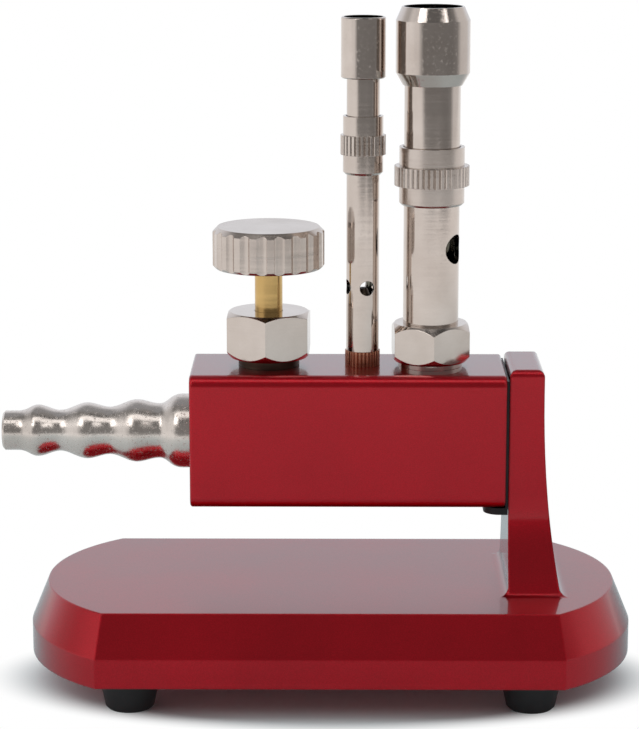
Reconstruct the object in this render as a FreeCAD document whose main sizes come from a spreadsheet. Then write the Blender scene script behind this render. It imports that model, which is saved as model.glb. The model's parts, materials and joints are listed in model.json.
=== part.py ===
import FreeCAD, Part
import math
import os
import re

import Sketcher

# Twin-tube bench bunsen burner: a painted stand carries a tilting gas block with a hose barb,
# a needle valve, a small pilot burner and a large main burner. Millimetres, +Z up, floor at Z = 0,
# X along the block, origin at the middle of the bounding box on the floor.

doc = FreeCAD.newDocument("bunsen_burner")
sheet = doc.addObject("Spreadsheet::Sheet", "Dims")

DRIVING = {
    # stand: base plate with bevelled top and bowed ends, upright arm on its right side
    "base_len": 110.0, "base_wide": 54.0, "end_arc": 33.5, "band_tall": 5.4,
    "bevel_tall": 7.5, "bevel_run": 3.1,
    "arm_thick": 6.2, "arm_deep": 18.0, "arm_top": 60.0, "arm_flare": 3.2, "arm_flare_tall": 36.0,
    "foot_flare": 4.4, "foot_flare_tall": 17.0, "arm_round": 1.2, "arm_fillet": 1.6,
    # rubber feet and their screws
    "foot_tall": 6.6, "foot_top": 5.7, "foot_low": 4.4, "foot_from_end": 19.0,
    "foot_from_side": 10.0,
    "foot_ease": 0.5, "foot_seat": 2.4, "screw_rad": 1.5, "screw_head": 2.5, "screw_head_tall": 1.6,
    "screw_grip": 6.0,
    # gas block and its drillings
    "block_left": 25.2, "block_len": 56.6, "block_deep": 22.0, "block_low": 35.0,
    "block_tall": 24.2, "block_round": 1.9, "block_ease": 0.5,
    "gallery_rad": 2.0, "gallery_drop": 7.2, "plug_len": 4.0, "seat_rad": 1.0,
    "chamber_rad": 3.0, "chamber_low": 44.0, "inlet_rad": 2.4, "inlet_drop": 0.25,
    # tilt pivot
    "plate_thick": 0.45, "lip_tall": 1.25, "lip_len": 3.8, "lip_round": 2.8, "plate_inset": 0.9,
    "bolt_rad": 2.45, "bolt_grip": 9.0, "bolt_head": 4.2, "bolt_head_tall": 2.6, "bolt_ease": 0.4,
    "hex_key": 1.7, "hex_key_deep": 1.6, "washer_tall": 0.8,
    # hose barb, left end of the block
    "barb_reach": 34.5, "barb_bore": 2.0, "tip_rad": 3.6, "tip_len": 2.6, "tip_ease": 0.4,
    "crest_one": 4.7, "crest_two": 5.12, "crest_three": 5.7,
    "valley_one": 3.72, "valley_two": 4.32, "valley_three": 4.98,
    "crest_pitch": 9.05, "crest_first": 6.3, "valley_lag": 4.1,
    "flange_rad": 6.75, "flange_thick": 1.7, "barb_thread": 4.0, "barb_thread_len": 7.0,
    "seal_thick": 0.8, "seal_rad": 5.6,
    # needle valve
    "valve_inset": 14.0, "bonnet_thread": 4.45, "bonnet_thread_len": 8.0, "neck_rad": 5.5,
    "neck_tall": 1.65, "gland_thread": 5.0, "gland_thread_len": 5.2, "gland_flats": 14.5,
    "gland_tall": 8.35, "gland_slope": 0.58, "gland_angle": 87.0, "packing_rad": 3.8, "packing_tall": 3.0,
    "stem_rad": 2.5, "stem_show": 7.95, "stem_socket": 5.0,
    "needle_rad": 1.5, "needle_cone": 2.6, "needle_tip": 0.6, "needle_lift": 1.6, "end_gap": 0.4,
    "collar_tall": 2.4, "drive_side": 2.2, "drive_len": 4.6,
    "knob_rad": 10.05, "knob_tall": 7.45, "knob_chamfer": 0.9, "knob_ease": 0.5, "knob_flutes": 20,
    "flute_deep": 0.45, "flute_land": 0.4,
    # small burner
    "valve_pitch": 16.95, "small_rad": 2.95, "small_wall": 0.6, "small_thread": 2.35,
    "small_thread_len": 5.0, "small_ring": 3.15, "small_ring_tall": 2.8, "ring_teeth": 28,
    "small_plug_len": 3.0, "small_jet": 1.3, "small_jet_seat": 1.6, "small_jet_taper": 0.5,
    "small_orifice": 0.3,
    "small_hole": 1.33, "small_hole_z": 73.7, "small_hole_angle": 16.5, "small_top": 122.0,
    "cap_rad": 3.98, "cap_len": 10.8, "cap_grip": 4.8, "cap_bore": 3.5,
    "cap_ease": 0.2, "cap_step": 1.0,
    "small_sleeve": 3.6, "small_sleeve_low": 94.1, "small_knurl": 4.05, "small_teeth": 30,
    # large burner
    "burner_pitch": 12.3, "large_inset": 13.35, "large_rad": 5.0, "large_wall": 0.8, "large_thread": 3.95,
    "large_thread_len": 6.0, "nut_flats": 13.5, "nut_tall": 6.95, "nut_neck": 5.8, "nut_neck_tall": 0.95,
    "nut_angle": 93.0, "large_plug_len": 3.3, "large_jet": 2.0, "large_jet_seat": 3.7,
    "large_jet_taper": 0.9, "large_orifice": 0.5, "large_hole": 2.65, "large_hole_z": 80.8,
    "large_hole_angle": 61.0,
    "large_top": 123.8, "head_rad": 6.6, "head_len": 13.8, "head_grip": 4.5, "head_rim": 5.55,
    "head_bore": 5.2, "head_low_chamfer": 2.2, "head_top_chamfer": 2.4,
    "head_lip": 0.35, "head_step": 1.2,
    "large_sleeve": 5.83, "large_sleeve_low": 88.6, "large_knurl": 6.7, "large_teeth": 42,
    # both air sleeves
    "sleeve_len": 10.4, "knurl_from": 3.5, "knurl_tall": 3.5, "tooth_deep": 0.26,
    "tooth_land": 0.5, "sleeve_ease": 0.4, "spring_tall": 1.2, "spring_thick": 0.3, "spring_slot": 0.8,
    # both jets end a little below the middle of their air holes
    "jet_short": 0.3, "jet_tip": 1.2,
    # chamfers of both hexagon nuts start inside the flats and run out past the corners
    "hex_slope": 1.05, "hex_inset": 0.25, "hex_proud": 0.2,
    # clearances: screwed and pressed joints, running fits, side play of the pivot
    "screw_gap": 0.05, "run_gap": 0.08, "side_gap": 0.15,
}

for row, (alias, value) in enumerate(DRIVING.items(), start=1):
    sheet.set(f"A{row}", alias)
    sheet.set(f"B{row}", str(value))
    sheet.setAlias(f"B{row}", alias)
doc.recompute()

ALIAS = re.compile(r"\b(" + "|".join(sorted(DRIVING, key=len, reverse=True)) + r")\b")

# Levels and places that several pieces share, as expressions of the driving sizes.
BASE_LOW = "foot_tall"
BEVEL_LOW = "(foot_tall + band_tall)"
BASE_TOP = "(foot_tall + band_tall + bevel_tall)"
BLOCK_TOP = "(block_low + block_tall)"
BLOCK_MID = "(block_low + block_tall / 2)"
BLOCK_RIGHT = "(block_len - block_left)"
ARM_LEFT = f"({BLOCK_RIGHT} + plate_thick + side_gap)"
ARM_RIGHT = f"({ARM_LEFT} + arm_thick)"
GALLERY = f"({BLOCK_MID} - gallery_drop)"
INLET = f"({BLOCK_MID} - inlet_drop)"
# middle of the base plate, seen from the middle of the bounding box
MIDDLE = "((barb_reach + block_left - base_len / 2) / 2)"
# valve and burners are spaced along the block, from its left end, in proportion to its length
SPREAD = "block_len / (valve_inset + valve_pitch + burner_pitch + large_inset)"
VALVE_IN = f"(valve_inset * {SPREAD})"
VALVE = f"({MIDDLE} - block_left + {VALVE_IN})"
SMALL = f"({VALVE} + valve_pitch * {SPREAD})"
LARGE = f"({SMALL} + burner_pitch * {SPREAD})"
NECK_TOP = f"({BLOCK_TOP} + neck_tall)"
THREAD_TOP = f"({NECK_TOP} + gland_thread_len)"
GLAND_TOP = f"({NECK_TOP} + gland_tall)"
KNOB_LOW = f"({GLAND_TOP} + stem_show)"
RING_TOP = f"({BLOCK_TOP} + small_ring_tall)"
NUT_LOW = f"({BLOCK_TOP} + nut_neck_tall)"
NUT_TOP = f"({NUT_LOW} + nut_tall)"

nodes = []


def ref(expression):
    """The expression with its driving names pointed at the sheet."""
    return ALIAS.sub(r"Dims.\1", str(expression))


def value(expression):
    return float(sheet.evalExpression(ALIAS.sub(r"\1", str(expression))))


def bind(thing, **properties):
    for name, expression in properties.items():
        thing.setExpression(name, ref(expression))


def place(thing, x=MIDDLE, y="0", z="0", axis=(0, 0, 1), turn=0.0):
    """Put a piece at X, Y, Z (expressions), turned about an axis through its own origin."""
    thing.Placement = FreeCAD.Placement(FreeCAD.Vector(), FreeCAD.Rotation(FreeCAD.Vector(*axis), turn))
    for letter, expression in zip("xyz", (x, y, z)):
        thing.setExpression(f".Placement.Base.{letter}", ref(expression))
    return thing


def node(thing, name):
    """Keep a finished piece under the name of its file."""
    thing.Label = name
    nodes.append(thing)
    return thing


def cylinder(name, radius, height, **where):
    thing = doc.addObject("Part::Cylinder", name)
    bind(thing, Radius=radius, Height=height)
    return place(thing, **where)


def cone(name, low_radius, top_radius, height, **where):
    thing = doc.addObject("Part::Cone", name)
    bind(thing, Radius1=low_radius, Radius2=top_radius, Height=height)
    return place(thing, **where)


def box(name, length, width, height, x, y, z):
    thing = doc.addObject("Part::Box", name)
    bind(thing, Length=length, Width=width, Height=height)
    return place(thing, x=x, y=y, z=z)


def fuse(name, *things):
    thing = doc.addObject("Part::MultiFuse", name)
    thing.Shapes = list(things)
    return thing


def common(name, *things):
    thing = doc.addObject("Part::MultiCommon", name)
    thing.Shapes = list(things)
    return thing


def cut(name, whole, *tools):
    thing = doc.addObject("Part::Cut", name)
    thing.Base = whole
    thing.Tool = tools[0] if len(tools) == 1 else fuse(name + "_tools", *tools)
    return thing


def turned(name, points, **where):
    """A body turned about its own Z: points are (radius, height) expressions of a closed outline."""
    body = doc.addObject("PartDesign::Body", name)
    sketch = body.newObject("Sketcher::SketchObject", name + "_outline")
    plane = next(p for p in body.Origin.OriginFeatures if p.Role == "XZ_Plane")
    sketch.AttachmentSupport = [(plane, "")]
    sketch.MapMode = "FlatFace"
    corners = [FreeCAD.Vector(value(r), value(h), 0) for r, h in points]
    for here, there in zip(corners, corners[1:] + corners[:1]):
        sketch.addGeometry(Part.LineSegment(here, there), False)
    last = len(points) - 1
    for index, (radius, height) in enumerate(points):
        sketch.addConstraint(Sketcher.Constraint("Coincident", index - 1 if index else last, 2, index, 1))
        for kind, expression, axis in (("DistanceX", radius, -2), ("DistanceY", height, -1)):
            if expression == "0":
                sketch.addConstraint(Sketcher.Constraint("PointOnObject", index, 1, axis))
                continue
            number = sketch.addConstraint(
                Sketcher.Constraint(kind, -1, 1, index, 1, value(expression)))
            sketch.setExpression(f"Constraints[{number}]", ref(expression))
    spin = body.newObject("PartDesign::Revolution", name + "_turn")
    spin.Profile = sketch
    spin.ReferenceAxis = (sketch, ["V_Axis"])
    spin.Angle = 360.0
    body.Tip = spin
    return place(body, **where)


def hexagon(name, corner, height, **where):
    thing = doc.addObject("Part::Prism", name)
    thing.Polygon = 6
    bind(thing, Circumradius=corner, Height=height)
    return place(thing, **where)


def hex_blank(flats, low, top, low_slope, top_slope):
    """Outer outline of the round blank that gives a hexagon its chamfers, from low to top."""
    inner = f"({flats} / 2 - hex_inset)"
    outer = f"({flats} / sqrt(3) + hex_proud)"
    return [(inner, low), (outer, f"{low} + {low_slope} * ({outer} - {inner})"),
            (outer, f"{top} - {top_slope} * ({outer} - {inner})"), (inner, top)]


def toothed(name, teeth, rim, deep, low, height, x, land, scooped=False):
    """A straight-cut prism: teeth on a share of the rim, with round scoops or sharp grooves between."""
    count = int(value(teeth))
    rim_radius = value(rim)
    root_radius = rim_radius - value(deep)
    step = 2 * math.pi / count
    crest = value(land) * step

    def at(radius, angle):
        return FreeCAD.Vector(radius * math.cos(angle), radius * math.sin(angle), 0)

    edges = []
    for tooth in range(count):
        start = tooth * step
        crest_end = start + crest
        near, root, far = at(rim_radius, crest_end), at(root_radius, (crest_end + start + step) / 2), at(
            rim_radius, start + step)
        edges.append(Part.Arc(at(rim_radius, start), at(rim_radius, start + crest / 2), near).toShape())
        if scooped:
            edges.append(Part.Arc(near, root, far).toShape())
        else:
            edges += [Part.makeLine(near, root), Part.makeLine(root, far)]
    thing = doc.addObject("Part::Feature", name)
    thing.Shape = Part.Face(Part.Wire(edges)).extrude(FreeCAD.Vector(0, 0, value(height)))
    return place(thing, x=x, z=low)


def rounded(name, whole, radius, wanted):
    """A fillet on the edges that the test picks out."""
    doc.recompute()
    size = value(radius)
    thing = doc.addObject("Part::Fillet", name)
    thing.Base = whole
    numbered = enumerate(whole.Shape.Edges, start=1)
    thing.Edges = [(index, size, size) for index, edge in numbered if wanted(edge)]
    return thing


def make_stand():
    """Base plate and upright arm, one casting, bored for the pivot and the foot screws."""
    centre = "(base_len / 2 - end_arc)"
    ends = []
    for side, sign in (("left", "-"), ("right", "")):
        x = f"{MIDDLE} + {sign}{centre}"
        ends.append(cylinder(f"band_{side}", "end_arc", "band_tall", x=x, z=BASE_LOW))
        ends.append(cone(f"bevel_{side}", "end_arc", "end_arc - bevel_run", "bevel_tall", x=x, z=BEVEL_LOW))
    ends.append(box("middle_span", f"2 * {centre}", "base_wide", "band_tall + bevel_tall",
                    x=f"{MIDDLE} - {centre}", y="-base_wide / 2", z=BASE_LOW))
    band = box("band_strip", "base_len", "base_wide", "band_tall",
               x=f"{MIDDLE} - base_len / 2", y="-base_wide / 2", z=BASE_LOW)
    bevel = doc.addObject("Part::Wedge", "bevel_strip")
    bind(bevel, Xmin="0", Xmax="base_wide", X2min="bevel_run", X2max="base_wide - bevel_run",
         Ymin="0", Ymax="bevel_tall", Zmin="0", Zmax="base_len", Z2min="0", Z2max="base_len")
    bevel.Placement = FreeCAD.Placement(
        FreeCAD.Vector(), FreeCAD.Rotation(FreeCAD.Vector(0, 1, 0), FreeCAD.Vector(0, 0, 1),
                                           FreeCAD.Vector(1, 0, 0), "ZYX"))
    for letter, expression in zip("xyz", (f"{MIDDLE} - base_len / 2", "-base_wide / 2", BEVEL_LOW)):
        bevel.setExpression(f".Placement.Base.{letter}", ref(expression))
    plate = common("base_plate", fuse("base_ends", *ends), fuse("base_strip", band, bevel))

    # the arm: straight above, hollowed out to a wide foot by arcs that run tangent into its faces
    tall = f"(arm_top - {BASE_TOP})"
    half_foot = "(arm_deep / 2 + foot_flare)"
    arm_x = f"{MIDDLE} + {ARM_LEFT}"
    blank = box("arm_blank", "arm_thick + arm_flare", f"2 * {half_foot}", tall,
                x=arm_x, y=f"-{half_foot}", z=BASE_TOP)
    side_arc = "((arm_flare_tall^2 + arm_flare^2) / (2 * arm_flare))"
    front_arc = "((foot_flare_tall^2 + foot_flare^2) / (2 * foot_flare))"
    tools = [
        cylinder("side_hollow", side_arc, f"2 * {half_foot}", x=f"{MIDDLE} + {ARM_RIGHT} + {side_arc}",
                 y=half_foot, z=f"{BASE_TOP} + arm_flare_tall", axis=(1, 0, 0), turn=90),
        box("side_slab", "arm_thick + arm_flare", f"2 * {half_foot}", tall,
            x=f"{MIDDLE} + {ARM_RIGHT}", y=f"-{half_foot}", z=f"{BASE_TOP} + arm_flare_tall"),
    ]
    for side, sign in (("front", "-"), ("back", "")):
        tools.append(cylinder(f"{side}_hollow", front_arc, "2 * (arm_thick + arm_flare)",
                              x=f"{arm_x} - arm_flare", y=f"{sign}(arm_deep / 2 + {front_arc})",
                              z=f"{BASE_TOP} + foot_flare_tall", axis=(0, 1, 0), turn=90))
        tools.append(box(f"{side}_slab", "arm_thick + arm_flare", "foot_flare", tall, x=arm_x,
                         y="arm_deep / 2" if sign == "" else f"-{half_foot}",
                         z=f"{BASE_TOP} + foot_flare_tall"))
    arm = cut("arm_hollowed", blank, *tools)
    top = value("arm_top")
    arm = rounded("arm_rounded", arm, "arm_round",
                  lambda edge: abs(edge.CenterOfMass.z - top) < 0.01)

    # a cove runs round the foot, from each face of the arm at the cove's height out to the plate
    side_out = f"({ARM_RIGHT} + {side_arc} - sqrt({side_arc}^2 - (arm_flare_tall - arm_fillet)^2))"
    front_out = f"(arm_deep / 2 + {front_arc} - sqrt({front_arc}^2 - (foot_flare_tall - arm_fillet)^2))"
    skirt_left = f"{MIDDLE} + {ARM_LEFT} - arm_fillet"
    skirt_long = f"({side_out} - {ARM_LEFT} + 2 * arm_fillet)"
    skirt_half = f"({front_out} + arm_fillet)"
    cove_z = f"{BASE_TOP} + arm_fillet"
    skirt = box("skirt_blank", skirt_long, f"2 * {skirt_half}", "arm_fillet", x=skirt_left,
                y=f"-{skirt_half}", z=BASE_TOP)
    coves = []
    for side, x in (("left", skirt_left), ("right", f"{skirt_left} + {skirt_long}")):
        coves.append(cylinder(f"cove_{side}", "arm_fillet", f"2 * {skirt_half}", x=x, y=skirt_half, z=cove_z,
                              axis=(1, 0, 0), turn=90))
    for side, sign in (("front", "-"), ("back", "")):
        coves.append(cylinder(f"cove_{side}", "arm_fillet", skirt_long, x=skirt_left,
                              y=f"{sign}{skirt_half}", z=cove_z, axis=(0, 1, 0), turn=90))
    casting = fuse("casting", plate, arm, cut("skirt_coved", skirt, *coves))
    seat = "(bolt_head_tall + washer_tall)"
    holes = [
        cylinder("pivot_hole", "bolt_rad + run_gap", "2 * arm_thick", x=f"{arm_x} - arm_thick / 2",
                 z=BLOCK_MID, axis=(0, 1, 0), turn=90),
        cylinder("pivot_recess", "bolt_head + side_gap", "2 * arm_thick",
                 x=f"{MIDDLE} + {ARM_RIGHT} - {seat}", z=BLOCK_MID, axis=(0, 1, 0), turn=90),
    ]
    for name, x, y in foot_places():
        holes.append(cylinder(f"{name}_tap", "screw_rad + screw_gap", "screw_grip + screw_gap",
                              x=x, y=y, z=BASE_LOW))
    node(cut("stand_bored", casting, *holes), "base_stand")


def foot_places():
    for end, x_sign in (("left", "-"), ("right", "+")):
        for side, y_sign in (("front", "-"), ("rear", "")):
            x = f"{MIDDLE} {x_sign} (base_len / 2 - foot_from_end)"
            yield f"foot_{side}_{end}", x, f"{y_sign}(base_wide / 2 - foot_from_side)"


def make_feet():
    """Tapered rubber feet, each with a screw seated up inside it."""
    screws = []
    for name, x, y in foot_places():
        node(turned(name + "_rubber", [
            ("screw_head + side_gap", "0"), ("foot_low - foot_ease", "0"), ("foot_low", "foot_ease"),
            ("foot_top", "foot_tall"), ("screw_rad + screw_gap", "foot_tall"),
            ("screw_rad + screw_gap", "foot_tall - foot_seat"),
            ("screw_head + side_gap", "foot_tall - foot_seat")], x=x, y=y), name)
        seat = "(foot_tall - foot_seat)"
        screws.append(turned(name + "_screw", [
            ("0", f"{seat} - screw_head_tall"), ("screw_head", f"{seat} - screw_head_tall"),
            ("screw_head", seat), ("screw_rad", seat), ("screw_rad", "foot_tall + screw_grip"),
            ("0", "foot_tall + screw_grip")], x=x, y=y))
    group = doc.addObject("Part::Compound", "screw_group")
    group.Links = screws
    node(group, "foot_screws")


def make_block():
    """The gas block: one bar, drilled from its ends and its top for gas, valve, burners and pivot."""
    body = doc.addObject("PartDesign::Body", "block_bar")
    sketch = body.newObject("Sketcher::SketchObject", "block_section")
    plane = next(p for p in body.Origin.OriginFeatures if p.Role == "YZ_Plane")
    sketch.AttachmentSupport = [(plane, "")]
    sketch.MapMode = "FlatFace"
    half = value("block_deep / 2")
    low, top = value("block_low"), value(BLOCK_TOP)
    corners = [FreeCAD.Vector(y, z, 0) for y, z in ((-half, low), (half, low), (half, top), (-half, top))]
    for here, there in zip(corners, corners[1:] + corners[:1]):
        sketch.addGeometry(Part.LineSegment(here, there), False)
    for index in range(4):
        sketch.addConstraint(Sketcher.Constraint("Coincident", index, 2, (index + 1) % 4, 1))
        sketch.addConstraint(Sketcher.Constraint("Vertical" if index % 2 else "Horizontal", index))
    sizes = (
        (Sketcher.Constraint("DistanceX", 0, 1, 0, 2, 2 * half), "block_deep"),
        (Sketcher.Constraint("DistanceX", -1, 1, 0, 2, half), "block_deep / 2"),
        (Sketcher.Constraint("DistanceY", -1, 1, 0, 1, low), "block_low"),
        (Sketcher.Constraint("DistanceY", 1, 1, 1, 2, top - low), "block_tall"),
    )
    for constraint, expression in sizes:
        number = sketch.addConstraint(constraint)
        sketch.setExpression(f"Constraints[{number}]", ref(expression))
    bar = body.newObject("PartDesign::Pad", "block_pad")
    bar.Profile = sketch
    bind(bar, Length="block_len")
    body.Tip = bar
    doc.recompute()

    def edges_where(feature, test):
        return [f"Edge{index}" for index, edge in enumerate(feature.Shape.Edges, start=1) if test(edge)]

    long_edges = body.newObject("PartDesign::Fillet", "block_long_edges")
    long_edges.Base = (bar, edges_where(bar, lambda edge: edge.BoundBox.XLength > 1))
    bind(long_edges, Radius="block_round")
    body.Tip = long_edges
    doc.recompute()
    ends = body.newObject("PartDesign::Fillet", "block_end_edges")
    ends.Base = (long_edges, edges_where(long_edges, lambda edge: edge.BoundBox.XLength < 0.01))
    bind(ends, Radius="block_ease")
    body.Tip = ends
    left = f"{MIDDLE} - block_left"
    right = f"{MIDDLE} + {BLOCK_RIGHT}"
    place(body, x=left)

    def along(name, radius, start, length, z):
        return cylinder(name, radius, length, x=start, z=z, axis=(0, 1, 0), turn=90)

    drillings = [
        along("inlet_thread", "barb_thread + screw_gap", left, "barb_thread_len + screw_gap", INLET),
        along("inlet_seat", "seal_rad + screw_gap", left, "seal_thick", INLET),
        along("inlet_bore", "inlet_rad", left, VALVE_IN, INLET),
        cylinder("valve_thread", "bonnet_thread + screw_gap", "bonnet_thread_len + screw_gap", x=VALVE,
                 z=f"{BLOCK_TOP} - bonnet_thread_len - screw_gap"),
        cylinder("valve_chamber", "chamber_rad", f"{BLOCK_TOP} - bonnet_thread_len - chamber_low", x=VALVE,
                 z="chamber_low"),
        cylinder("valve_seat", "seat_rad", f"chamber_low - {GALLERY}", x=VALVE, z=GALLERY),
        along("gas_gallery", "gallery_rad", VALVE, f"block_len - {VALVE_IN}", GALLERY),
        along("pivot_thread", "bolt_rad + screw_gap", f"{right} - bolt_grip - screw_gap",
              "bolt_grip + screw_gap", BLOCK_MID),
    ]
    for name, x, radius, deep, way in (("small", SMALL, "small_thread", "small_thread_len", "small_jet"),
                                       ("large", LARGE, "large_thread", "large_thread_len", "large_jet")):
        drillings.append(cylinder(f"{name}_tapped", f"{radius} + screw_gap", f"{deep} + screw_gap", x=x,
                                  z=f"{BLOCK_TOP} - {deep} - screw_gap"))
        drillings.append(cylinder(f"{name}_feed", way, f"{BLOCK_TOP} - {GALLERY}", x=x, z=GALLERY))
    node(cut("block_drilled", body, *drillings), "gas_block")
    node(along("gallery_stop", "gallery_rad - screw_gap", f"{right} - plug_len", "plug_len", GALLERY),
         "gallery_plug")


def make_pivot():
    """Black angle plate hooked under the block's end, pivot bolt and the spring washer under its head."""
    right = f"{MIDDLE} + {BLOCK_RIGHT}"
    half = "(block_deep / 2 - plate_inset)"
    low = "(block_low - lip_tall)"
    leg = box("plate_leg", "plate_thick", f"2 * {half}", f"{BLOCK_TOP} - plate_inset - {low}",
              x=right, y=f"-{half}", z=low)
    inner = f"{right} - lip_len"
    lip = [box("lip_middle", "lip_len", f"2 * ({half} - lip_round)", "lip_tall", x=inner,
               y=f"-({half} - lip_round)", z=low),
           box("lip_edge", "lip_len - lip_round", f"2 * {half}", "lip_tall", x=f"{inner} + lip_round",
               y=f"-{half}", z=low)]
    for side, sign in (("front", "-"), ("back", "")):
        lip.append(cylinder(f"lip_{side}", "lip_round", "lip_tall", x=f"{inner} + lip_round",
                            y=f"{sign}({half} - lip_round)", z=low))
    limits = box("lip_limits", "lip_len + plate_thick", f"2 * {half}", "lip_tall", x=inner, y=f"-{half}",
                 z=low)
    lip = common("lip_shaped", fuse("lip_whole", *lip), limits)
    hole = cylinder("plate_hole", "bolt_rad + screw_gap", "3 * plate_thick", x=f"{right} - plate_thick",
                    z=BLOCK_MID, axis=(0, 1, 0), turn=90)
    node(cut("plate_bored", fuse("plate_angle", leg, lip), hole), "pivot_plate")

    # the bolt is drawn along its own axis from the inner end of its thread
    shank = "(bolt_grip + plate_thick + side_gap + arm_thick - bolt_head_tall)"
    end = f"({shank} + bolt_head_tall)"
    start = f"{right} - bolt_grip"
    bolt = turned("bolt_turned", [
        ("0", "0"), ("bolt_rad", "0"), ("bolt_rad", shank), ("bolt_head", shank),
        ("bolt_head", f"{end} - bolt_ease"), ("bolt_head - bolt_ease", end), ("0", end)],
        x=start, z=BLOCK_MID, axis=(0, 1, 0), turn=90)
    key = hexagon("bolt_key", "hex_key", "2 * hex_key_deep", x=f"{start} + {end} - hex_key_deep", z=BLOCK_MID,
                  axis=(0, 1, 0), turn=90)
    node(cut("bolt_keyed", bolt, key), "pivot_bolt")
    node(turned("washer_turned", [
        ("bolt_rad + screw_gap", "0"), ("bolt_head", "0"), ("bolt_head", "washer_tall"),
        ("bolt_rad + screw_gap", "washer_tall")], x=f"{start} + {shank} - washer_tall", z=BLOCK_MID,
        axis=(0, 1, 0), turn=90), "pivot_washer")


def make_barb():
    """Hose barb with three smooth ridges, drawn outward along -X from the end of its thread."""
    root = "barb_thread_len + barb_reach"
    waves = [("flange_rad", "barb_thread_len + flange_thick"),
             ("valley_three", f"{root} - crest_first - 2 * crest_pitch - valley_lag")]
    for turn, crest, valley in ((2, "crest_three", "valley_two"), (1, "crest_two", "valley_one"),
                                (0, "crest_one", None)):
        peak = f"{root} - crest_first - {turn} * crest_pitch"
        waves.append((crest, peak))
        if valley:
            waves.append((valley, f"{peak} + crest_pitch - valley_lag"))
    waves.append(("tip_rad", f"{root} - tip_len"))
    inner = [("tip_rad", f"{root} - tip_ease"), ("tip_rad - tip_ease", root), ("barb_bore", root),
             ("barb_bore", "0"), ("barb_thread", "0"), ("barb_thread", "barb_thread_len"),
             ("flange_rad", "barb_thread_len"), waves[0]]

    def points(outline):
        return [FreeCAD.Vector(value(radius), 0, value(height)) for radius, height in outline]

    # the ridges run level at each crest and valley, on one curve from the flange to the plain tip
    ridges = Part.BSplineCurve()
    ridges.interpolate(Points=points(waves), Tangents=[FreeCAD.Vector(0, 0, 1)] * len(waves),
                       TangentFlags=[True] * len(waves))
    profile = Part.Wire([ridges.toShape(), *Part.makePolygon(points([waves[-1], *inner])).Edges])
    barb = doc.addObject("Part::Feature", "barb_turned")
    barb.Shape = Part.Face(profile).revolve(FreeCAD.Vector(), FreeCAD.Vector(0, 0, 1), 360)
    place(barb, x=f"{MIDDLE} - block_left + barb_thread_len", z=INLET, axis=(0, 1, 0), turn=-90)
    node(barb, "hose_barb")
    node(turned("seal_turned", [
        ("barb_thread + screw_gap", "0"), ("seal_rad", "0"), ("seal_rad", "seal_thick"),
        ("barb_thread + screw_gap", "seal_thick")], x=f"{MIDDLE} - block_left", z=INLET,
        axis=(0, 1, 0), turn=90), "inlet_seal")


def make_valve():
    """Bonnet screwed into the block, packing under a gland nut, knob and stem that turn a rising needle."""
    x = VALVE
    foot = f"({BLOCK_TOP} - bonnet_thread_len)"
    pocket = f"({THREAD_TOP} - packing_tall)"
    bore = "stem_rad + run_gap"
    node(turned("bonnet_turned", [
        (bore, foot), ("bonnet_thread", foot), ("bonnet_thread", BLOCK_TOP), ("neck_rad", BLOCK_TOP),
        ("neck_rad", NECK_TOP), ("gland_thread", NECK_TOP), ("gland_thread", THREAD_TOP),
        ("packing_rad", THREAD_TOP), ("packing_rad", pocket), (bore, pocket)], x=x), "valve_bonnet")
    node(turned("packing_turned", [
        (bore, pocket), ("packing_rad - screw_gap", pocket), ("packing_rad - screw_gap", THREAD_TOP),
        (bore, THREAD_TOP)], x=x), "gland_packing")
    gland = turned("gland_turned", [
        ("gland_thread + screw_gap", NECK_TOP),
        *hex_blank("gland_flats", NECK_TOP, GLAND_TOP, "hex_slope", "gland_slope"),
        (bore, GLAND_TOP), (bore, THREAD_TOP), ("gland_thread + screw_gap", THREAD_TOP)], x=x)
    sides = hexagon("gland_hexagon", "gland_flats / sqrt(3)", "gland_tall", x=x, z=NECK_TOP,
                    turn=value("gland_angle"))
    node(common("gland_shaped", sides, gland), "gland_nut")

    # the needle's threaded collar climbs in the bonnet; its square tail slides up into the stem
    collar_top = f"({foot} + collar_tall)"
    shoulder = "(chamber_low + needle_cone)"
    needle = turned("needle_turned", [
        ("0", "chamber_low - needle_tip"), ("seat_rad - run_gap", "chamber_low"), ("needle_rad", shoulder),
        ("needle_rad", foot), ("stem_rad", foot), ("stem_rad", collar_top), ("0", collar_top)], x=x)
    tail = box("needle_tail", "drive_side", "drive_side", "drive_len", x=f"{x} - drive_side / 2",
               y="-drive_side / 2", z=collar_top)
    node(fuse("needle_whole", needle, tail), "valve_needle")
    stem_low = f"({collar_top} + needle_lift + end_gap)"
    stem_top = f"({KNOB_LOW} + stem_socket)"
    socket = "(drive_side + 2 * run_gap)"
    node(cut("stem_socketed", cylinder("stem_rod", "stem_rad", f"{stem_top} - {stem_low}", x=x, z=stem_low),
             box("stem_drive", socket, socket, "drive_len", x=f"{x} - {socket} / 2", y=f"-{socket} / 2",
                 z=stem_low)), "valve_stem")
    knob_top = f"({KNOB_LOW} + knob_tall)"
    outer = "(knob_rad + hex_proud)"
    profile = turned("knob_turned", [
        ("stem_rad + screw_gap", KNOB_LOW), ("knob_rad - knob_ease", KNOB_LOW),
        (outer, f"{KNOB_LOW} + knob_ease + hex_proud"), (outer, f"{knob_top} - knob_chamfer - hex_proud"),
        ("knob_rad - knob_chamfer", knob_top), ("0", knob_top), ("0", stem_top),
        ("stem_rad + screw_gap", stem_top)], x=x)
    flutes = toothed("knob_flutes_cut", "knob_flutes", "knob_rad", "flute_deep", KNOB_LOW, "knob_tall", x,
                     "flute_land", scooped=True)
    node(common("knob_shaped", flutes, profile), "valve_knob")


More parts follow.
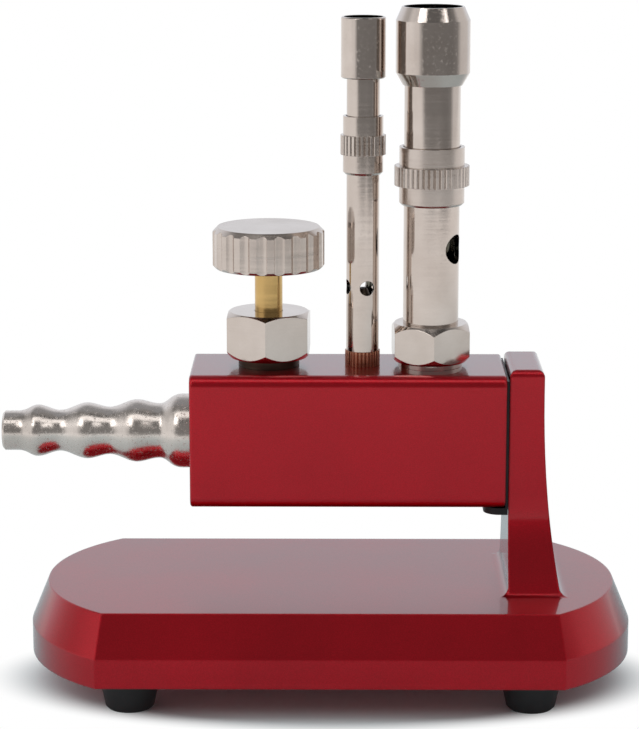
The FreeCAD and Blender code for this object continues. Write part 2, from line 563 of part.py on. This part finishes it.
def make_sleeve(name, x, tube, outer, knurl, teeth, low):
    """Sliding air sleeve with a knurled band, and the slotted spring ring that holds it on its tube."""
    top = f"({low} + sleeve_len)"
    band_low = f"({low} + knurl_from)"
    spring_low = f"({band_low} + knurl_tall / 2 - spring_tall / 2)"
    spring_top = f"({spring_low} + spring_tall)"
    bore = f"({tube} + 2 * run_gap)"
    groove = f"({tube} + run_gap + spring_thick + run_gap)"
    plain = turned(f"{name}_plain", [
        (bore, low), (f"{outer} - sleeve_ease", low), (outer, f"{low} + sleeve_ease"), (outer, top),
        (bore, top), (bore, f"{spring_top} + run_gap"), (groove, f"{spring_top} + run_gap"),
        (groove, f"{spring_low} - run_gap"), (bore, f"{spring_low} - run_gap")], x=x)
    band = toothed(f"{name}_teeth_cut", teeth, knurl, "tooth_deep", band_low, "knurl_tall", x, "tooth_land")
    ring = cut(f"{name}_ring", band,
               cylinder(f"{name}_ring_bore", f"{groove} + screw_gap", "knurl_tall", x=x, z=band_low))
    node(fuse(f"{name}_knurled", plain, ring), f"{name}_air_sleeve")
    spring = turned(f"{name}_spring_turned", [
        (f"{tube} + run_gap", spring_low), (f"{tube} + run_gap + spring_thick", spring_low),
        (f"{tube} + run_gap + spring_thick", spring_top), (f"{tube} + run_gap", spring_top)], x=x)
    slot = box(f"{name}_slot", f"2 * {tube}", "spring_slot", "spring_tall", x=x, y="-spring_slot / 2",
               z=spring_low)
    node(cut(f"{name}_spring_slotted", spring, slot), f"{name}_sleeve_spring")


def make_tube(name, x, radius, wall, low, top, hole, hole_z, turns):
    """Mixing tube drilled right through its wall for the air holes."""
    tube = turned(f"{name}_tube_turned", [
        (f"{radius} - {wall}", low), (radius, low), (radius, top), (f"{radius} - {wall}", top)], x=x)
    drills = []
    for number, turn in enumerate(turns):
        drill = cylinder(f"{name}_air_hole_{number}", hole, f"4 * {radius}", x=x, z=hole_z)
        lay = FreeCAD.Rotation(FreeCAD.Vector(0, 0, 1), turn) * FreeCAD.Rotation(FreeCAD.Vector(1, 0, 0), 90)
        reach = lay.multVec(FreeCAD.Vector(0, 0, -2 * value(radius)))
        drill.Placement = FreeCAD.Placement(FreeCAD.Vector(), lay)
        for letter, expression in (("x", f"{x} + {reach.x}"), ("y", reach.y), ("z", hole_z)):
            drill.setExpression(f".Placement.Base.{letter}", ref(expression))
        drills.append(drill)
    node(cut(f"{name}_tube_drilled", tube, *drills), f"{name}_tube")


def make_jet(name, x, low):
    """Gas jet: a plain tube from its base up to the air holes, tapered to its orifice."""
    wide = f"{name}_jet"
    orifice = f"{name}_orifice"
    top = f"({name}_hole_z - jet_short)"
    node(turned(f"{name}_jet_turned", [
        (orifice, low), (wide, low), (wide, f"{top} - jet_tip"), (f"{wide} - {wide}_taper", top),
        (orifice, top)], x=x), f"{name}_jet")


def make_small_burner():
    """Small burner: knurled base with its jet, tube with four air holes, plain cap, air sleeve."""
    x = SMALL
    foot = f"({BLOCK_TOP} - small_thread_len)"
    plug = f"({RING_TOP} + small_plug_len)"
    bore = "small_jet + screw_gap"
    core = turned("small_base_turned", [
        (bore, foot), ("small_thread", foot), ("small_thread", BLOCK_TOP),
        ("small_ring - tooth_deep - run_gap", BLOCK_TOP), ("small_ring - tooth_deep - run_gap", RING_TOP),
        ("small_rad - small_wall - screw_gap", RING_TOP), ("small_rad - small_wall - screw_gap", plug),
        (bore, plug)], x=x)
    rim = cut("small_rim", toothed("small_rim_cut", "ring_teeth", "small_ring", "tooth_deep", BLOCK_TOP,
                                   "small_ring_tall", x, "tooth_land"),
              cylinder("small_rim_bore", "small_thread", "small_ring_tall", x=x, z=BLOCK_TOP))
    node(fuse("small_base_knurled", core, rim), "small_base")
    make_jet("small", x, f"{RING_TOP} - small_jet_seat")
    cap_low = "(small_top - cap_len)"
    seat = f"({cap_low} + cap_grip)"
    turn = value("small_hole_angle")
    make_tube("small", x, "small_rad", "small_wall", RING_TOP, seat, "small_hole", "small_hole_z",
              (turn, turn + 90))
    node(turned("cap_turned", [
        ("small_rad + screw_gap", cap_low), ("cap_rad - cap_ease", cap_low),
        ("cap_rad", f"{cap_low} + cap_ease"), ("cap_rad", "small_top - cap_ease"),
        ("cap_rad - cap_ease", "small_top"), ("cap_bore", "small_top"), ("cap_bore", f"{seat} + cap_step"),
        ("small_rad - small_wall", seat), ("small_rad + screw_gap", seat)], x=x),
        "small_cap")
    make_sleeve("small", x, "small_rad", "small_sleeve", "small_knurl", "small_teeth", "small_sleeve_low")


def make_large_burner():
    """Large burner: hexagon base nut with its jet, tube with two air holes, flared head, air sleeve."""
    x = LARGE
    foot = f"({BLOCK_TOP} - large_thread_len)"
    plug = f"({NUT_TOP} + large_plug_len)"
    bore = "large_jet + screw_gap"
    sides = hexagon("nut_hexagon", "nut_flats / sqrt(3)", "nut_tall", x=x, z=NUT_LOW, turn=value("nut_angle"))
    hexed = common("nut_shaped", sides, turned("nut_turned", [
        (bore, NUT_LOW), *hex_blank("nut_flats", NUT_LOW, NUT_TOP, "hex_slope", "hex_slope"),
        (bore, NUT_TOP)], x=x))
    spigots = [turned(f"nut_{name}", [(bore, low), (radius, low), (radius, top), (bore, top)], x=x)
               for name, radius, low, top in (
                   ("thread", "large_thread", foot, BLOCK_TOP), ("neck", "nut_neck", BLOCK_TOP, NUT_LOW),
                   ("plug", "large_rad - large_wall - screw_gap", NUT_TOP, plug))]
    node(fuse("nut_whole", hexed, *spigots), "large_base_nut")
    make_jet("large", x, f"{NUT_TOP} - large_jet_seat")
    head_low = "(large_top - head_len)"
    seat = f"({head_low} + head_grip)"
    make_tube("large", x, "large_rad", "large_wall", NUT_TOP, seat, "large_hole", "large_hole_z",
              (value("large_hole_angle"),))
    node(turned("head_turned", [
        ("large_rad + screw_gap", head_low), ("large_rad + head_lip", head_low),
        ("head_rad", f"{head_low} + head_low_chamfer"), ("head_rad", "large_top - head_top_chamfer"),
        ("head_rim", "large_top"), ("head_bore", "large_top"), ("head_bore", f"{seat} + head_step"),
        ("large_rad - large_wall", seat), ("large_rad + screw_gap", seat)], x=x), "large_head")
    make_sleeve("large", x, "large_rad", "large_sleeve", "large_knurl", "large_teeth", "large_sleeve_low")


make_stand()
make_feet()
make_block()
make_pivot()
make_barb()
make_valve()
make_small_burner()
make_large_burner()
doc.recompute()

for thing in doc.Objects:
    if "Invalid" in thing.State or "Error" in thing.State:
        raise RuntimeError(f"{thing.Name} ({thing.Label}) did not build: {thing.State}")
os.makedirs("parts", exist_ok=True)
for thing in nodes:
    if thing.Shape.isNull() or not thing.Shape.isValid():
        raise RuntimeError(f"{thing.Label} has no valid shape")
    thing.Shape.exportStep(f"parts/{thing.Label}.step")
    print(thing.Label, len(thing.Shape.Solids), round(thing.Shape.Volume, 2))
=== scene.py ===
import json
import math

import bpy
from mathutils import Matrix, Vector


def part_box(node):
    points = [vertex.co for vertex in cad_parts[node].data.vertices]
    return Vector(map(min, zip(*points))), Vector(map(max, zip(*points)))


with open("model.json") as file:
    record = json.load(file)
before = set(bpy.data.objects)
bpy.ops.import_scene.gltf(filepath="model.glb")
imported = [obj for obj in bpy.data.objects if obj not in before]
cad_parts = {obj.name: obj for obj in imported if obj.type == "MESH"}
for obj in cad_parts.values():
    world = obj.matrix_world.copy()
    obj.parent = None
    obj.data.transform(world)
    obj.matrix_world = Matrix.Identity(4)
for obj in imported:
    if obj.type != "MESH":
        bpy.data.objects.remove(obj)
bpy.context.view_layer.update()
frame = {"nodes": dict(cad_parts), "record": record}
nodes = frame["nodes"]
scene = bpy.context.scene

MM = 0.001

# Camera of the photograph, fitted to its edges and ellipses, in the object's frame
PHOTO_WIDE, PHOTO_TALL = 639, 729
FOCAL_PIXELS = 2570.0
CAMERA_AT = Vector((3.45 * MM, -456.0 * MM, 157.5 * MM))
CAMERA_PITCH, CAMERA_YAW = math.radians(12.167), math.radians(0.393)
CAMERA_NEAR, CAMERA_FAR = 10 * MM, 20.0

# Sheet of paper on the floor, cut off at the right front: its corners in metres, drop under the feet and colour,
# which is tinted blue-green to cancel the red light that the paint bounces onto it
PAPER_EDGE = ((-3.0, -0.62), (0.28, -0.62), (0.75, 0.0), (0.75, 4.0), (-3.0, 4.0))
PAPER_DROP = 0.05 * MM
PAPER_TINTED_AGAINST_RED_BOUNCE = (0.82, 0.93, 0.95)
# The camera sees it turn plain white between these distances, in half sizes of the base from its middle
WHITE_FROM, WHITE_TO = 0.92, 1.18
# Metal mirrors it turning white between these distances, in metres from a place right of the middle
MIRROR_MID, MIRROR_FROM, MIRROR_TO = 0.08, 0.07, 0.45

# Soft boxes: name, place, width and height in metres, radiance
LIGHTS = (
    ("overhead", (0.0, -0.28, 0.62), (1.00, 0.24), 1.30),
    ("front_left", (-0.42, -0.50, 0.55), (0.30, 0.30), 2.0),
    ("front_right", (0.40, -0.52, 0.50), (0.25, 0.25), 1.6),
)
LIGHT_TARGET = Vector((0.0, 0.0, 0.05))
# Brightness of the room by compass angle in degrees: 0 towards the camera, 90 to the right
BACKDROP = (0.89, 0.925, 0.985)
ROOM = ((-180, BACKDROP), (-130, BACKDROP), (-112, 0.60), (-98, 0.54), (-82, 0.88), (-48, 0.88), (-32, 0.24),
        (60, 0.22), (78, 0.28), (94, 0.74), (125, 0.78), (140, BACKDROP), (180, BACKDROP))
# Share of that brightness overhead, and the heights of a unit direction between which it falls to it
CEILING_FROM, CEILING_TO, CEILING_SHARE = 0.48, 0.84, 0.36

# Red lacquer: colours of the metal flake under a clear coat, and its tint at a glancing angle
FLAKE_DARK, FLAKE_LIGHT, FLAKE_EDGE = (0.46, 0.003, 0.011), (0.60, 0.005, 0.018), (0.36, 0.90, 0.90)
FLAKE_METALLIC = 0.85
CLEAR_ROUGH, CLEAR_IOR = 0.07, 1.34

# Noise is stretched round an upright or a level axis to make tool lines
UPRIGHT, LEVEL = (0.15, 0.15, 6.0), (6.0, 0.15, 0.15)
# Metals: colours, roughness, height of the lumps against the tool lines, roughness of the pits, and whether the
# wall of the bore gets painted shade
NICKEL = {"bright": (0.63, 0.555, 0.505), "dull": (0.55, 0.475, 0.425)}
CAST_NICKEL = {"bright": (0.76, 0.69, 0.64), "dull": (0.63, 0.56, 0.51)}
METALS = {
    "nickel_plate": dict(NICKEL, rough=0.11, lumps=1.0, pits=0.15, painted_shade_in_bore=True),
    "nickel_spotted": dict(NICKEL, rough=0.09, lumps=2.5, pits=0.26, painted_shade_in_bore=True),
    "nickel_satin": dict(NICKEL, rough=0.22, lumps=1.0),
    "nickel_cast": dict(CAST_NICKEL, rough=0.22, lumps=6.0, pits=0.5, lines=LEVEL),
    "bare_brass": dict(bright=(0.66, 0.45, 0.185), dull=(0.55, 0.35, 0.13), rough=0.22),
    "aged_brass": dict(bright=(0.50, 0.235, 0.150), dull=(0.34, 0.145, 0.090), rough=0.30),
    # Brass darkened to paint the shade that the valve neck and the burner jets sit in
    "brass_dark_painted_shade": dict(bright=(0.10, 0.075, 0.055), dull=(0.05, 0.038, 0.030), rough=0.45),
    "zinc_steel": dict(bright=(0.52, 0.52, 0.50), dull=(0.42, 0.42, 0.41), rough=0.30),
}
# Share of a metal's roughness at the smoothest and the coarsest tool lines
TOOL_SMOOTH, TOOL_COARSE = 0.75, 1.35
# Painted shade on the walls of the bores, where little light gets in: its dark and light colours
BORE_SHADE_DARK, BORE_SHADE_LIGHT = (0.080, 0.077, 0.062), (0.160, 0.154, 0.124)
# A face is in a bore if it looks towards the axis: its place from the axis along its normal, in widths of the piece
BORE_SURE, BORE_EDGE = -0.25, -0.15

RUBBER_DARK, RUBBER_LIGHT = (0.010, 0.010, 0.011), (0.024, 0.024, 0.026)
OXIDE_DARK, OXIDE_LIGHT, OXIDE_METALLIC = (0.012, 0.010, 0.011), (0.035, 0.028, 0.030), 0.6
FIBRE_DARK, FIBRE_LIGHT, FIBRE_ROUGH = (0.55, 0.50, 0.42), (0.80, 0.77, 0.70), 0.8

# Finish of each material slot, and of the nodes that differ from their slot
SLOT_FINISH = {
    "red_paint": "candy_red", "nickel": "nickel_plate", "brass": "bare_brass", "rubber": "moulded_rubber",
    "black_steel": "black_oxide", "steel": "zinc_steel", "seal": "pressed_fibre",
}
NODE_FINISH = {
    "hose_barb": "nickel_cast", "small_cap": "nickel_spotted", "large_head": "nickel_spotted",
    "large_air_sleeve": "nickel_satin", "valve_knob": "nickel_satin", "small_base": "aged_brass",
    # The valve bonnet and the jets take the dark brass, which is painted shade
    "valve_bonnet": "brass_dark_painted_shade", "small_jet": "brass_dark_painted_shade", "large_jet": "brass_dark_painted_shade",
}


def feed(tree, node, inputs):
    """Link or set a node's inputs, given by name or number."""
    for key, source in inputs.items():
        if isinstance(source, bpy.types.NodeSocket):
            tree.links.new(source, node.inputs[key])
        else:
            node.inputs[key].default_value = source


def add(tree, kind, inputs, **settings):
    """A new node with its settings and inputs."""
    made = tree.nodes.new(kind)
    for name, setting in settings.items():
        setattr(made, name, setting)
    feed(tree, made, inputs)
    return made


def maths(tree, operation, *terms):
    """The result of a maths node on numbers."""
    return add(tree, "ShaderNodeMath", dict(enumerate(terms)), operation=operation).outputs["Value"]


def vectors(tree, operation, *terms, result="Vector"):
    """The result of a maths node on vectors or colours."""
    return add(tree, "ShaderNodeVectorMath", dict(enumerate(terms)), operation=operation).outputs[result]


def blend(tree, factor, first, second, kind="FLOAT"):
    """The first number or colour where the factor is zero and the second where it is one."""
    inputs = {"Factor": factor, "A": first, "B": second}
    return add(tree, "ShaderNodeMix", inputs, data_type=kind).outputs["Result"]


def rise(tree, factor, low, high):
    """A soft step from zero at the low end to one at the high end."""
    inputs = {"Value": factor, "From Min": low, "From Max": high}
    return add(tree, "ShaderNodeMapRange", inputs, interpolation_type="SMOOTHSTEP").outputs["Result"]


def ramp(tree, factor, *stops):
    """A colour ramp of (position, colour) stops; a plain number makes a grey."""
    made = add(tree, "ShaderNodeValToRGB", {"Fac": factor})
    elements = made.color_ramp.elements
    while len(elements) < len(stops):
        elements.new(1.0)
    for element, (position, colour) in zip(elements, stops):
        element.position = position
        element.color = (colour,) * 3 + (1,) if isinstance(colour, (int, float)) else (*colour, 1)
    return made.outputs["Color"]


def coordinates(tree):
    """The texture coordinates of a surface or of the world, by name."""
    return tree.nodes.new("ShaderNodeTexCoord").outputs


def noise(tree, scale, detail=3.0, stretch=(1, 1, 1)):
    """Smooth random values over the piece, with about as many features to the metre as the scale."""
    spot = add(tree, "ShaderNodeMapping", {"Vector": coordinates(tree)["Object"], "Scale": stretch})
    inputs = {"Vector": spot.outputs["Vector"], "Scale": scale, "Detail": detail}
    return add(tree, "ShaderNodeTexNoise", inputs).outputs["Fac"]


def distance(tree, centre, unit):
    """Distance from a centre, in units of their own along each axis."""
    away = vectors(tree, "SUBTRACT", coordinates(tree)["Object"], centre)
    return vectors(tree, "LENGTH", vectors(tree, "DIVIDE", away, unit), result="Value")


def relief(tree, height, strength, depth, rounding=0.0):
    """The normal of a relief with a height, over edges that look rounded by a radius."""
    inputs = {"Height": height, "Strength": strength, "Distance": depth}
    if rounding:
        inputs["Normal"] = add(tree, "ShaderNodeBevel", {"Radius": rounding}).outputs["Normal"]
    return add(tree, "ShaderNodeBump", inputs).outputs["Normal"]


def shader(name):
    """A new material, its node tree and its principled shader."""
    material = bpy.data.materials.new(name)
    material.use_nodes = True
    return material, material.node_tree, material.node_tree.nodes["Principled BSDF"]


def candy_red():
    """Metallic red lacquer: fine flake in the colour, hazy clear coat with a little orange peel."""
    material, tree, bsdf = shader("candy_red")
    flake, cloud = noise(tree, scale=5200, detail=2.0), noise(tree, scale=60)
    deep = ramp(tree, flake, (0.30, FLAKE_DARK), (0.72, FLAKE_LIGHT))
    tone = ramp(tree, cloud, (0.28, 0.85), (0.72, 1.0))
    orange_peel = noise(tree, scale=420, detail=2.0)
    normal = relief(tree, orange_peel, strength=0.05, depth=0.03 * MM, rounding=0.5 * MM)
    feed(tree, bsdf, {
        "Base Color": vectors(tree, "MULTIPLY", deep, tone),
        "Roughness": ramp(tree, cloud, (0.2, 0.29), (0.8, 0.34)),
        "Metallic": FLAKE_METALLIC,
        "Specular Tint": (*FLAKE_EDGE, 1),
        "Specular IOR Level": 0.0,
        "Coat Weight": 1.0,
        "Coat Roughness": CLEAR_ROUGH,
        "Coat IOR": CLEAR_IOR,
        "Normal": normal,
        "Coat Normal": normal,
    })
    return material


def faces_out(tree):
    """One on the outside of an upright turned piece and zero on the wall of its bore."""
    place = coordinates(tree)
    from_middle = vectors(tree, "SUBTRACT", place["Generated"], (0.5, 0.5, 0.5))
    from_axis = vectors(tree, "MULTIPLY", from_middle, (1, 1, 0))
    facing = vectors(tree, "DOT_PRODUCT", from_axis, place["Normal"], result="Value")
    return rise(tree, facing, BORE_SURE, BORE_EDGE)


def metal(name, bright, dull, rough, lumps=0.0, pits=0.0, lines=UPRIGHT, painted_shade_in_bore=False):
    """Plated or bare turned metal: clouded colour, tool lines round an axis, lumps, dull pits, and painted shade on
    the wall of the bore if asked.
    """
    material, tree, bsdf = shader(name)
    cloud, tool = noise(tree, scale=150, detail=4.0), noise(tree, scale=420, detail=2.0, stretch=lines)
    colour = ramp(tree, cloud, (0.28, dull), (0.70, bright))
    # Paint the wall of the bore dark, as the shade inside the tube
    if painted_shade_in_bore:
        bore_shade = ramp(tree, cloud, (0.28, BORE_SHADE_DARK), (0.70, BORE_SHADE_LIGHT))
        colour = blend(tree, faces_out(tree), bore_shade, colour, kind="RGBA")
    turned = ramp(tree, tool, (0.25, rough * TOOL_SMOOTH), (0.8, rough * TOOL_COARSE))
    pitted = ramp(tree, noise(tree, scale=2000, detail=4.0), (0.52, 0.0), (0.66, pits))
    height = maths(tree, "MULTIPLY_ADD", noise(tree, scale=1100), lumps, tool)
    feed(tree, bsdf, {
        "Base Color": colour,
        "Roughness": maths(tree, "MAXIMUM", turned, pitted),
        "Metallic": 1.0,
        "Normal": relief(tree, height, strength=0.20, depth=0.012 * MM, rounding=0.12 * MM),
    })
    return material


def moulded_rubber():
    """Dull black rubber with a fine grain."""
    material, tree, bsdf = shader("moulded_rubber")
    cloud, grain = noise(tree, scale=240, detail=4.0), noise(tree, scale=2600)
    feed(tree, bsdf, {
        "Base Color": ramp(tree, cloud, (0.3, RUBBER_DARK), (0.75, RUBBER_LIGHT)),
        "Roughness": ramp(tree, cloud, (0.2, 0.50), (0.8, 0.68)),
        "Normal": relief(tree, grain, strength=0.25, depth=0.03 * MM, rounding=0.3 * MM),
    })
    return material


def black_oxide():
    """Blackened sheet steel."""
    material, tree, bsdf = shader("black_oxide")
    cloud, grain = noise(tree, scale=300, detail=4.0), noise(tree, scale=1800, detail=2.0)
    feed(tree, bsdf, {
        "Base Color": ramp(tree, cloud, (0.3, OXIDE_DARK), (0.75, OXIDE_LIGHT)),
        "Roughness": ramp(tree, cloud, (0.2, 0.36), (0.8, 0.52)),
        "Metallic": OXIDE_METALLIC,
        "Normal": relief(tree, grain, strength=0.12, depth=0.02 * MM, rounding=0.2 * MM),
    })
    return material


def pressed_fibre():
    """Pale fibre of the seals, with its strands lying level."""
    material, tree, bsdf = shader("pressed_fibre")
    strand = noise(tree, scale=1500, detail=5.0, stretch=(1, 1, 4))
    feed(tree, bsdf, {
        "Base Color": ramp(tree, strand, (0.25, FIBRE_DARK), (0.75, FIBRE_LIGHT)),
        "Roughness": FIBRE_ROUGH,
        "Normal": relief(tree, strand, strength=0.3, depth=0.03 * MM),
    })
    return material


def dress():
    """Give every CAD node the finish of its material slot, or its own."""
    finishes = {name: metal(name, **recipe) for name, recipe in METALS.items()}
    for material in (candy_red(), moulded_rubber(), black_oxide(), pressed_fibre()):
        finishes[material.name] = material
    for part in frame["record"]["subparts"]:
        name = part["node"]
        mesh = nodes[name].data
        mesh.materials.clear()
        mesh.materials.append(finishes[NODE_FINISH.get(name, SLOT_FINISH[part["material_slot"]])])


def make_camera():
    """The photograph's camera, whose focal length is in pixels of its longer side."""
    data = bpy.data.cameras.new("photo_camera")
    data.lens = FOCAL_PIXELS * data.sensor_width / max(PHOTO_WIDE, PHOTO_TALL)
    data.clip_start, data.clip_end = CAMERA_NEAR, CAMERA_FAR
    camera = bpy.data.objects.new("photo_camera", data)
    turn = Matrix.Rotation(CAMERA_YAW, 4, "Z") @ Matrix.Rotation(math.pi / 2 - CAMERA_PITCH, 4, "X")
    camera.matrix_world = Matrix.Translation(CAMERA_AT) @ turn
    scene.collection.objects.link(camera)
    scene.camera = camera


def white_paper():
    """Paper that takes the shadow close to the base and is plain white further out."""
    material = bpy.data.materials.new("white_paper")
    material.use_nodes = True
    tree = material.node_tree
    tree.nodes.clear()
    path = tree.nodes.new("ShaderNodeLightPath").outputs
    low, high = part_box("base_stand")
    middle, half = (low + high) / 2, (high - low) / 2
    oval = distance(tree, (middle.x, middle.y, 0), (half.x, half.y, 1))
    reach = distance(tree, (MIRROR_MID, 0, 0), (1, 1, 1))
    seen = blend(tree, path["Is Camera Ray"], 0.0, rise(tree, oval, WHITE_FROM, WHITE_TO))
    mirrored = maths(tree, "MAXIMUM", path["Is Glossy Ray"], path["Is Transmission Ray"])
    far = blend(tree, mirrored, seen, rise(tree, reach, MIRROR_FROM, MIRROR_TO))
    # The paper's blue-green tint cancels the red light bounced onto it from the paint
    paper = add(tree, "ShaderNodeBsdfDiffuse", {"Color": (*PAPER_TINTED_AGAINST_RED_BOUNCE, 1)})
    white = add(tree, "ShaderNodeEmission", {"Color": (1, 1, 1, 1), "Strength": 1.0})
    mix = add(tree, "ShaderNodeMixShader", {"Fac": far, 1: paper.outputs["BSDF"], 2: white.outputs["Emission"]})
    add(tree, "ShaderNodeOutputMaterial", {"Surface": mix.outputs["Shader"]})
    return material


def make_floor():
    """A sheet of white paper under the object."""
    mesh = bpy.data.meshes.new("floor")
    mesh.from_pydata([(x, y, -PAPER_DROP) for x, y in PAPER_EDGE], [], [tuple(range(len(PAPER_EDGE)))])
    mesh.materials.append(white_paper())
    floor = bpy.data.objects.new("floor", mesh)
    scene.collection.objects.link(floor)


def make_room():
    """A world that the camera sees as white and the object as a room, dim on the camera's side and overhead."""
    world = bpy.data.worlds.new("studio")
    world.use_nodes = True
    scene.world = world
    tree = world.node_tree
    towards = add(tree, "ShaderNodeSeparateXYZ", {"Vector": coordinates(tree)["Generated"]}).outputs
    compass = maths(tree, "ARCTAN2", towards["X"], maths(tree, "MULTIPLY", towards["Y"], -1.0))
    turn = add(tree, "ShaderNodeMapRange", {"Value": compass, "From Min": -math.pi, "From Max": math.pi})
    around = ramp(tree, turn.outputs["Result"], *((angle / 360 + 0.5, level) for angle, level in ROOM))
    share = blend(tree, rise(tree, towards["Z"], CEILING_FROM, CEILING_TO), 1.0, CEILING_SHARE)
    room = vectors(tree, "MULTIPLY", around, share)
    path = tree.nodes.new("ShaderNodeLightPath").outputs
    colour = blend(tree, path["Is Camera Ray"], room, (1, 1, 1, 1), kind="RGBA")
    feed(tree, tree.nodes["Background"], {"Color": colour, "Strength": 1.0})


def make_lights():
    """Soft boxes that face the object."""
    for name, place, (wide, tall), radiance in LIGHTS:
        data = bpy.data.lights.new(name, "AREA")
        data.shape = "RECTANGLE"
        data.size, data.size_y = wide, tall
        data.energy = radiance * math.pi * wide * tall
        lamp = bpy.data.objects.new(name, data)
        lamp.location = place
        lamp.rotation_euler = (LIGHT_TARGET - lamp.location).to_track_quat("-Z", "Y").to_euler()
        scene.collection.objects.link(lamp)


make_camera()
make_floor()
make_room()
make_lights()
dress()
scene.view_settings.view_transform = "Standard"
